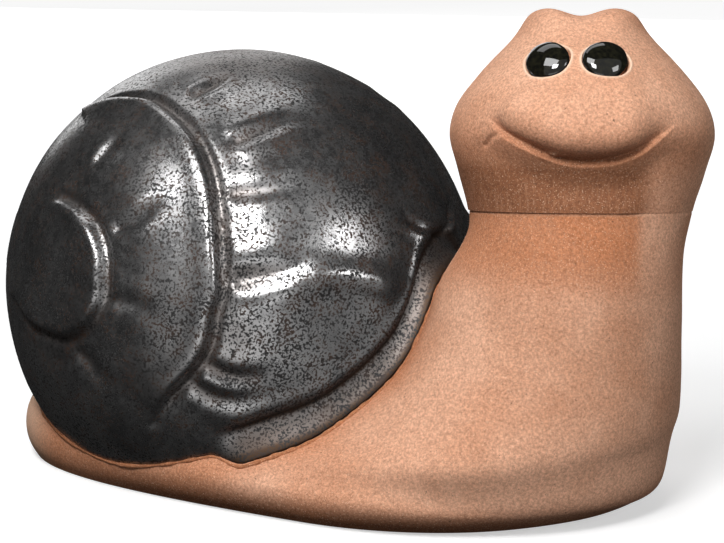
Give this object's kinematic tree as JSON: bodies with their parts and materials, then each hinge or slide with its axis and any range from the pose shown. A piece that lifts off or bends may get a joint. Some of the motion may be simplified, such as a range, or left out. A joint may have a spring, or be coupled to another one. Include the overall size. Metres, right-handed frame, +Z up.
{
  "type": "snail figurine",
  "caption": "Hollow ceramic garden snail with a turned smiling clay head and a dark metallic glazed ball shell.",
  "frame": {"origin": "bottom centre of the bounding box, on the surface that the foot stands on", "axes": "+X from the tail to the breast, +Y to the snail's left, +Z up; the face looks out over the -Y flank"},
  "size_m": [0.2891, 0.1918, 0.1889],
  "materials": {
    "clay": "matte",
    "glaze": "gloss",
    "eye_glaze": "gloss",
    "slip": "matte"
  },
  "bodies": {
    "root": {"body": "clay", "head": "clay", "base_slab": "clay", "shell": "glaze", "eye_left": "eye_glaze", "eye_right": "eye_glaze", "shell_lute": "slip", "neck_lute": "slip"}
  },
  "joints": []
}
